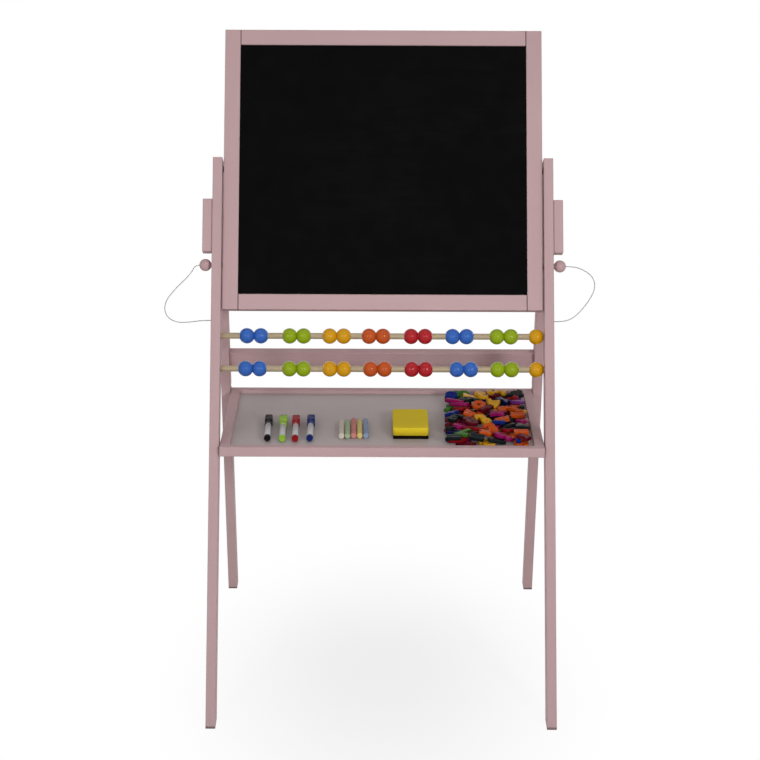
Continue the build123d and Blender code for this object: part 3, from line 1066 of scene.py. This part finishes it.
@dataclass
class Marker:
    """A dry-wipe marker, its plug to the front and its square wiper end to the back; sizes in mm."""

    hue: InkHue
    across: float
    along: float
    turn: float
    wide: float = 12.8
    barrel: float = 10.2
    length: float = 118.5
    cap: float = 45.0
    wiper: float = 31.0
    felt: float = 4.0
    felt_inset: float = 1.6
    felt_sunk: float = 2.0
    corner: float = 1.4
    felt_corner: float = 0.8
    rough: Span = (0.23, 0.37)
    sides: int = 96
    grip_rings: tuple[int, int] = (18, 20)
    grip_waist: float = 0.965

    def profile(self) -> Profile:
        """The rings of the plug with its dished end, the barrel and the cap with its gripped band.

        Returns:
            Radius and height of each ring in mm, and the material from it to the next.
        """
        joint = self.length - self.cap
        end = self.length - self.wiper
        body, plug, cap = self.barrel / 2, self.barrel / 2 + 0.3, self.wide / 2 - 0.1
        dished_plug = (
            (2.6, 0.9), (3.8, 0.9), (4.0, 0.1), (plug - 1.0, 0.0), (plug - 0.3, 0.3), (plug, 1.0),
            (plug, 7.5), (plug - 0.2, 7.9),
        )
        plain_barrel = (
            (body - 0.2, 8.0), (body - 0.2, 8.5), (body, 8.8), (body, joint - 3.0),
            (body - 0.4, joint - 2.7),
        )
        gripped_cap = (
            (body - 0.4, joint), (cap - 0.7, joint), (cap - 0.2, joint + 0.3), (cap, joint + 0.9),
            (cap, joint + 3.0), (cap - 0.25, joint + 3.3), (cap - 0.25, joint + 11.0), (cap, joint + 11.3),
            (cap, end - 0.6), (cap - 0.5, end), (cap - 0.5, end + 1.0),
        )
        parts = ((dished_plug, 0), (plain_barrel, 1), (gripped_cap, 0))
        return [(*ring, material) for rings, material in parts for ring in rings]

    def build(self) -> None:
        """Turns the plug, barrel and cap, sets the square end and lays the marker down."""
        bm = bmesh.new()
        rings = turned(bm, self.profile(), self.sides)
        for ring in rings[slice(*self.grip_rings)]:
            for k, vert in enumerate(ring):
                if k % 4 < 2:
                    vert.co.x *= self.grip_waist
                    vert.co.y *= self.grip_waist
        shell = self.wiper - self.felt
        middle = self.length - self.wiper + shell / 2
        rounded_block(bm, (self.wide, self.wide, shell), middle, self.corner)
        pad, deep = self.wide - self.felt_inset, self.felt + self.felt_sunk
        rounded_block(bm, (pad, pad, deep), self.length - deep / 2, self.felt_corner, material=2)
        place = TRAY.place(self.across * TRAY.inner_half, self.along, self.wide / 2)
        aim = Matrix.Rotation(math.radians(self.turn), 4, "Z")
        bm.transform(place @ aim @ Matrix.Rotation(LYING, 4, "X"))
        colour = self.hue.name.lower()
        ink = Moulded(f"marker plastic {colour}", self.hue.value, self.rough)
        piece = add_piece(f"marker_{colour}", bm, ink, MARKER_WHITE, WIPER_FELT)
        seat(piece, "markers")


@dataclass
class ChalkStick:
    """A tapered stick of chalk with crumbled ends; sizes in mm."""

    hue: ChalkHue
    index: int
    along: float
    length: float
    thick: float = 9.5
    taper: float = 0.6
    turn: float = 0.6
    first_across: float = -0.2516
    gap: float = 0.5
    sides: int = 40
    crumble: float = 0.012
    seed: int = 40

    def profile(self) -> Profile:
        """The rings of the stick, from its thick end to its thin one.

        Returns:
            Radius and height of each ring in mm, and its material.
        """
        wide, thin, length = self.thick / 2, self.thick / 2 - self.taper, self.length
        slope = self.taper / length
        thick_end = [(wide - 1.5, 0.05, 0), (wide - 0.5, 0.15, 0), (wide - 0.12, 0.5, 0), (wide, 1.1, 0)]
        stem = [(wide - slope * z, z, 0) for z in range(6, int(length) - 3, 6)]
        thin_end = [(thin - 0.02, length - 1.0, 0), (thin - 0.2, length - 0.35, 0), (thin - 0.9, length, 0)]
        return thick_end + stem + thin_end

    def build(self) -> None:
        """Turns the stick, crumbles its skin and lays it down."""
        bm = bmesh.new()
        rng = np.random.default_rng(self.seed + self.index)
        for ring in turned(bm, self.profile(), self.sides):
            for vert in ring:
                vert.co.x *= 1 - self.crumble * rng.random()
                vert.co.y *= 1 - self.crumble * rng.random()
        x = self.first_across * TRAY.inner_half + (self.thick + self.gap) * self.index
        place = TRAY.place(x, self.along, self.thick / 2)
        aim = Matrix.Rotation(math.radians(self.turn), 4, "Z")
        dip = math.atan(self.taper / self.length)
        bm.transform(place @ aim @ Matrix.Rotation(LYING - dip, 4, "X"))
        colour = self.hue.name.lower()
        piece = add_piece(f"chalk_{colour}", bm, ChalkBody(f"chalk {colour}", self.hue.value))
        seat(piece, "chalk_sticks")


@dataclass
class Eraser:
    """A board eraser: a foam block on leaves of felt; sizes in mm."""

    size: Triple = (59.0, 111.0, 19.2)
    felt: float = 6.0
    leaves: int = 2
    across: float = 0.1786
    along: float = 68.5
    corner: float = 5.0
    rim: float = 3.0
    felt_inset: float = 1.0
    felt_corner: float = 0.7
    leaf_gap: float = 0.05
    foam_finish: Foam = Foam("yellow foam", shade(230, 204, 42))
    felt_finish: Felt = Felt("black felt", shade(22, 15, 6))

    def foam(self) -> Shape:
        """Makes the foam block, rounded at its upright corners and round its top.

        Returns:
            The block, about its own middle.
        """
        wide, long, tall = self.size
        bm = bmesh.new()
        verts = block(bm, (wide, long, tall - self.felt))
        edges = {edge for vert in verts for edge in vert.link_edges}
        upright = [e for e in edges if abs(e.verts[0].co.z - e.verts[1].co.z) > self.rim * MM]
        rounded(bm, upright, self.corner, steps=8)
        rims = [
            e for e in bm.edges
            if len(e.link_faces) == 2
            and e.verts[0].co.z > 0
            and abs(e.verts[0].co.z - e.verts[1].co.z) < 1e-6
            and any(abs(f.normal.z) > 0.9 for f in e.link_faces)
        ]
        rounded(bm, rims, self.rim, steps=6)
        for face in bm.faces:
            face.smooth = abs(face.normal.z) < 0.99
        return bm

    def build(self) -> None:
        """Makes the foam and the felt leaves and lays the eraser down."""
        wide, long, tall = self.size
        place = TRAY.place(self.across * TRAY.inner_half, self.along + long / 2)
        foam = self.foam()
        foam.transform(place @ Matrix.Translation((0, 0, (self.felt + (tall - self.felt) / 2) * MM)))
        felt = bmesh.new()
        pitch = self.felt / self.leaves
        leaf_size = (wide - self.felt_inset, long - self.felt_inset, pitch - self.leaf_gap)
        for leaf in range(self.leaves):
            rounded_block(felt, leaf_size, pitch * (leaf + 0.5), self.felt_corner, steps=3)
        felt.transform(place)
        seat(add_piece("eraser_foam", foam, self.foam_finish), "board_eraser")
        seat(add_piece("eraser_felt", felt, self.felt_finish), "board_eraser")


@dataclass
class MagnetHeap:
    """Moulded number and sign magnets, tipped out on the right of the tray; sizes in mm.

    The ground is how high the heap is so far, in cells of a grid.
    """

    signs: str = "0123456789+-x="
    shares: tuple[int, ...] = (2, 3, 5, 6, 2, 2, 5, 3, 2, 1)
    count: int = 380
    tall: float = 30.0
    letter_share: float = 0.72
    thick: float = 6.2
    swell: float = 0.9
    bevel: float = 1.2
    cell: float = 1.0
    left: Span = (97.0, 109.0)
    right: float = 245.5
    front: float = -147.0
    back: float = 140.0
    columns: int = 7
    rows: int = 12
    inset_x: Span = (17.0, 15.0)
    inset_y: Span = (14.0, 13.0)
    print_step: float = 0.7
    nudge: float = 4.0
    tries: int = 60
    crest: float = 10.0
    slope: float = 0.04
    tilt: int = 12
    tilt_step: int = 4
    gap: float = 0.15
    lift_off: float = 0.1
    ceiling: float = 22.0
    rough: Span = (0.21, 0.35)
    seed: int = 31
    rng: np.random.Generator = field(init=False)
    ground: np.ndarray = field(init=False)

    def __post_init__(self) -> None:
        """Starts the random draws on bare ground."""
        self.rng = np.random.default_rng(self.seed)
        sizes = (self.right - min(self.left), self.back - self.front)
        self.ground = np.zeros([int(size / self.cell) + 2 for size in sizes])

    def mould(self, sign: str) -> bpy.types.Mesh:
        """Makes a magnet, lying flat about its middle.

        Args:
            sign: The number or sign.

        Returns:
            Its mesh in metres.
        """
        text = bpy.data.curves.new("magnet", "FONT")
        text.body = sign
        text.size = self.tall / self.letter_share * MM
        text.offset = self.swell * MM
        text.bevel_depth = self.bevel * MM
        text.bevel_resolution = 2
        text.resolution_u = 4
        text.extrude = self.thick / 2 * MM - text.bevel_depth
        holder = bpy.data.objects.new("magnet", text)
        bpy.context.scene.collection.objects.link(holder)
        bpy.context.view_layer.update()
        shaped = holder.evaluated_get(bpy.context.evaluated_depsgraph_get())
        mesh = bpy.data.meshes.new_from_object(shaped)
        bpy.data.objects.remove(holder)
        bpy.data.curves.remove(text)
        co = np.array([v.co for v in mesh.vertices])
        mesh.transform(Matrix.Translation(-Vector((co.min(0) + co.max(0)) / 2)))
        return mesh

    def footprint(self, mesh: bpy.types.Mesh) -> np.ndarray:
        """Finds points of the shape that a magnet covers, mm.

        Args:
            mesh: The magnet's mesh.

        Returns:
            Points as rows of x and y.
        """
        tree = BVHTree.FromPolygons([v.co for v in mesh.vertices], [p.vertices for p in mesh.polygons])
        reach = max(abs(c) for v in mesh.vertices for c in v.co[:2]) / MM + 1
        steps = np.arange(-reach, reach, self.print_step)
        down = Vector((0, 0, -1))
        return np.array([
            (x, y) for x, y in product(steps, steps)
            if tree.ray_cast(Vector((x * MM, y * MM, 1.0)), down)[0] is not None
        ])

    def cells(self, points: np.ndarray, at: np.ndarray, pose: Matrix, level: float = 0.0) -> Cells | None:
        """Finds the grid cells under a magnet.

        Args:
            points: Its footprint.
            at: Where its middle is.
            pose: How it is turned.
            level: The height within its thickness.

        Returns:
            Column, row and height of each point, or None where it leaves the heap's ground.
        """
        flat = np.column_stack([points, np.full(len(points), level)]) @ np.array(pose).T
        x, y = flat[:, 0] + at[0], flat[:, 1] + at[1]
        share = (y - self.front) / (self.back - self.front)
        edge = self.left[0] + (self.left[1] - self.left[0]) * share
        if ((x < edge) | (x > self.right) | (y < self.front) | (y > self.back)).any():
            return None
        i = ((x - min(self.left)) / self.cell).astype(int)
        j = ((y - self.front) / self.cell).astype(int)
        return i, j, flat[:, 2]

    def first_layer(self) -> list[np.ndarray]:
        """Sets out places for the magnets that lie on the tray itself.

        Returns:
            The places, row by row from the front.
        """
        columns = np.linspace(min(self.left) + self.inset_x[0], self.right - self.inset_x[1], self.columns)
        rows = np.linspace(self.front + self.inset_y[0], self.back - self.inset_y[1], self.rows)
        return [np.array((x, y)) for y in rows for x in columns]

    def spin(self) -> Matrix:
        """A random turn on the tray."""
        return Matrix.Rotation(self.rng.uniform(-math.pi, math.pi), 3, "Z")

    def spot(self, points: np.ndarray, start: np.ndarray | None) -> tuple[np.ndarray, Matrix] | None:
        """Finds where a magnet falls: near its place in the first layer, or else the lowest of many tries.

        Args:
            points: The magnet's footprint.
            start: Its place in the first layer, or None.

        Returns:
            Its middle and its turn, or None where it fits nowhere.
        """
        if start is not None:
            at = start + self.rng.uniform(-self.nudge, self.nudge, 2)
            turn = self.spin()
            if self.cells(points, at, turn) is not None:
                return at, turn
        best, lowest = None, math.inf
        for _ in range(self.tries):
            x = self.rng.uniform(min(self.left), self.right)
            y = self.rng.uniform(self.front, self.back)
            at, turn = np.array((x, y)), self.spin()
            cells = self.cells(points, at, turn)
            if cells is None:
                continue
            level = self.ground[cells[:2]].max() + self.slope * abs(y - self.crest)
            if level < lowest:
                best, lowest = (at, turn), level
        return best

    def settle(self, points: np.ndarray, at: np.ndarray, turn: Matrix) -> tuple[float, Matrix] | None:
        """Tips a magnet to the side that lets it lie lowest.

        Args:
            points: The magnet's footprint.
            at: Where its middle is.
            turn: How it is turned.

        Returns:
            How high it lies and its pose, or None where every tilt leaves the heap's ground.
        """
        angles = [math.radians(a) for a in range(-self.tilt, self.tilt + 1, self.tilt_step)]
        rest, lowest = None, math.inf
        for a, b in product(angles, angles):
            pose = turn @ (Matrix.Rotation(a, 3, "X") @ Matrix.Rotation(b, 3, "Y"))
            cells = self.cells(points, at, pose, -self.thick / 2)
            if cells is None:
                continue
            lift = (self.ground[cells[:2]] - cells[2]).max()
            if lift < lowest:
                rest, lowest = (lift, pose), lift
        return rest

    def drop(self, points: np.ndarray, start: np.ndarray | None) -> Matrix | None:
        """Lets one magnet come to rest and raises the ground there.

        Args:
            points: The magnet's footprint.
            start: Its place in the first layer, or None.

        Returns:
            Where it lies, or None where it fits nowhere or would lie too high.
        """
        spot = self.spot(points, start)
        rest = self.settle(points, *spot) if spot else None
        if rest is None:
            return None
        (at, _), (lift, pose) = spot, rest
        top = self.cells(points, at, pose, self.thick / 2)
        if top is None or (top[2] + lift).max() > self.ceiling:
            return None
        wide, deep = self.ground.shape
        for dx, dy in product((-1, 0, 1), repeat=2):
            near = np.clip(top[0] + dx, 0, wide - 1), np.clip(top[1] + dy, 0, deep - 1)
            np.maximum.at(self.ground, near, top[2] + lift + self.gap)
        return Matrix.Translation(Vector((*at, TRAY.floor + lift + self.lift_off)) * MM) @ pose.to_4x4()

    def build(self) -> None:
        """Drops the magnets one by one so that each settles low on those below, then joins them by colour."""
        moulds = {sign: self.mould(sign) for sign in self.signs}
        prints = {sign: self.footprint(mesh) for sign, mesh in moulds.items()}
        hues = list(MagnetHue)
        odds = np.array(self.shares) / sum(self.shares)
        bins = {hue: bmesh.new() for hue in hues}
        starts = self.first_layer()
        placed = 0
        for number in range(self.count):
            sign = self.signs[number % len(self.signs)]
            hue = hues[int(self.rng.choice(len(hues), p=odds))]
            where = self.drop(prints[sign], starts[number] if number < len(starts) else None)
            if where is None:
                continue
            copy = moulds[sign].copy()
            copy.transform(where)
            bins[hue].from_mesh(copy)
            bpy.data.meshes.remove(copy)
            placed += 1
        for hue, bm in bins.items():
            colour = hue.name.lower()
            plastic = Moulded(f"magnet plastic {colour}", hue.value, self.rough)
            piece = add_piece(f"number_magnets_{colour}", bm, plastic)
            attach(piece, "frame")
            log.info("made %s", piece.name)
        log.info("tipped out %d magnets, %.1f mm high", placed, self.ground.max())


@dataclass
class Softbox:
    """A square studio lamp; its spread is the angle that it lights."""

    name: str
    place: Triple
    aim: Triple
    size: float
    power: float
    spread: float = math.pi

    def build(self) -> None:
        """Hangs the lamp and points it."""
        lamp = bpy.data.lights.new(self.name, "AREA")
        lamp.shape = "SQUARE"
        lamp.size = self.size
        lamp.energy = self.power
        lamp.spread = self.spread
        holder = bpy.data.objects.new(self.name, lamp)
        holder.location = self.place
        ahead = Vector(self.aim) - Vector(self.place)
        holder.rotation_euler = ahead.to_track_quat("-Z", "Y").to_euler()
        bpy.context.scene.collection.objects.link(holder)


@dataclass
class Studio:
    """A pale floor, soft light and the camera; sizes in metres.

    Round the easel an oval pool of painted shade greys the floor, with its shadow. Farther out it is white
    where it is seen.
    """

    eye: Triple = (-0.01635, -3.8586, 1.57853)
    ahead: Triple = (0.003214, 0.962018, -0.272966)
    roll: float = math.radians(0.2786)
    sensor: float = 36.0
    lens: float = 2400 / 760 * 36
    sky: float = 0.36
    floor_radius: float = 30.0
    floor_colour: Colour = (0.8, 0.8, 0.8, 1.0)
    floor_lift: float = 0.74
    pool_shift: Triple = (0.0, 0.2, 0.0)
    pool_squeeze: Triple = (2.45, 1.32, 1.0)
    pool_edge: Span = (0.05, 1.0)
    lamps: tuple[Softbox, ...] = (
        Softbox("key softbox", (1.35, -3.2, 1.57), (0, 0, 0.68), 0.5, 5.6, 1.1),
        Softbox("fill softbox", (-1.35, -3.2, 1.52), (0, 0, 0.68), 0.7, 3.1, 1.1),
        Softbox("top softbox", (0.0, -0.3, 3.4), (0, 0, 0), 2.4, 9.0),
        Softbox("left back softbox", (-2.7, 2.1, 0.8), (0, 0, 0.6), 1.2, 15.0),
        Softbox("right back softbox", (2.7, 2.1, 0.8), (0, 0, 0.6), 1.2, 15.0),
    )

    def build(self) -> None:
        """Sets up floor, sky, lamps and camera."""
        bpy.context.scene.view_settings.view_transform = "Standard"
        self.lay_floor()
        self.paint_sky()
        for lamp in self.lamps:
            lamp.build()
        self.set_camera()

    @staticmethod
    def seen(g: Graph) -> Socket:
        """Tells what is looked at, by the camera or in metal and glass, from what only gives light.

        Args:
            g: The graph of the floor's material or the sky.

        Returns:
            One where it is looked at, or nought.
        """
        path = g.node("LightPath", {})
        mirrored = g.math("MAXIMUM", path["Is Glossy Ray"], path["Is Transmission Ray"])
        return g.math("MAXIMUM", path["Is Camera Ray"], mirrored)

    def lay_floor(self) -> None:
        """Lays a wide pale disc with a painted grey pool round the easel, that runs out to white."""
        bm = bmesh.new()
        bmesh.ops.create_circle(bm, cap_ends=True, segments=96, radius=self.floor_radius)
        floor = add_piece("floor", bm)
        material = bpy.data.materials.new("studio floor")
        material.use_nodes = True
        material.node_tree.nodes.clear()
        g = Graph(material.node_tree)
        oval = {0: g.node("TexCoord", {})["Object"], 1: self.pool_shift, 3: self.pool_squeeze}
        distance = g.node("VectorMath", {0: g.node("Mapping", oval)[0]}, operation="LENGTH")["Value"]
        # painted shade: less white near the easel, so the lit floor shows grey there, its real shadow
        # included
        far = g.times(g.span(distance, *self.pool_edge, self.floor_lift, 1.0), self.seen(g))
        near = g.node("BsdfDiffuse", {"Color": self.floor_colour})[0]
        white = g.node("Emission", {"Strength": 1.0})[0]
        g.node("OutputMaterial", {"Surface": g.node("MixShader", {0: far, 1: near, 2: white})[0]})
        floor.data.materials.append(material)

    def paint_sky(self) -> None:
        """Makes a plain soft sky that is white where it is seen."""
        world = bpy.data.worlds.new("studio")
        world.use_nodes = True
        world.node_tree.nodes.clear()
        bpy.context.scene.world = world
        g = Graph(world.node_tree)
        colour = (1.0, 1.0, 1.0, 1.0)
        soft = g.node("Background", {"Color": colour, "Strength": self.sky})[0]
        white = g.node("Background", {"Color": colour, "Strength": 1.0})[0]
        g.node("OutputWorld", {"Surface": g.node("MixShader", {0: self.seen(g), 1: soft, 2: white})[0]})

    def set_camera(self) -> None:
        """Stands the camera before the easel."""
        ahead = Vector(self.ahead).normalized()
        level = ahead.cross(Vector((0, 0, 1))).normalized()
        rise = level.cross(ahead)
        right = level * math.cos(self.roll) + rise * math.sin(self.roll)
        up = rise * math.cos(self.roll) - level * math.sin(self.roll)
        data = bpy.data.cameras.new("camera")
        data.sensor_width = self.sensor
        data.lens = self.lens
        data.clip_end = 100.0
        camera = bpy.data.objects.new("camera", data)
        bpy.context.scene.collection.objects.link(camera)
        turn = Matrix((right, up, -ahead)).transposed().to_4x4()
        camera.matrix_world = Matrix.Translation(self.eye) @ turn
        bpy.context.scene.camera = camera


LEFT_CORD = (
    (18.1, 0, 0), (28, 0, 0), (35, -16, -3), (60, -41, -6), (77, -64, -7), (75, -86, -7),
    (57, -97, -6), (35, -95.5, -3), (14, -92, 0), (-5, -92, 0),
)
RIGHT_CORD = (
    (18.1, 0, 0), (27, 0, 0), (44, -3, -3), (65, -17, -5), (69, -37, -7), (57, -60, -6.5),
    (39, -81, -5), (25, -90, -2), (10, -92, 0), (-5, -92, 0),
)
MARKERS = (
    Marker(InkHue.BLACK, across=-0.709, along=49.0, turn=0.9),
    Marker(InkHue.GREEN, across=-0.6175, along=47.5, turn=0.8),
    Marker(InkHue.RED, across=-0.5377, along=47.3, turn=0.7),
    Marker(InkHue.BLUE, across=-0.4476, along=49.9, turn=0.0),
)
CHALKS = (
    ChalkStick(ChalkHue.WHITE, 0, along=67.1, length=84.0),
    ChalkStick(ChalkHue.GREEN, 1, along=68.5, length=84.0),
    ChalkStick(ChalkHue.PINK, 2, along=70.8, length=92.0),
    ChalkStick(ChalkHue.YELLOW, 3, along=70.1, length=84.0),
    ChalkStick(ChalkHue.BLUE, 4, along=70.2, length=90.0),
)


def main() -> None:
    """Builds the sub-assemblies in order."""
    logging.basicConfig(level=logging.INFO, format="%(name)s: %(message)s")
    Studio().build()
    PegCord("left", -1, LEFT_CORD).build()
    PegCord("right", 1, RIGHT_CORD).build()
    for assembly in (Stand(), Board(), Abacus(), Tray(), *MARKERS, *CHALKS, Eraser(), MagnetHeap()):
        assembly.build()


if __name__ == "__main__":
    main()
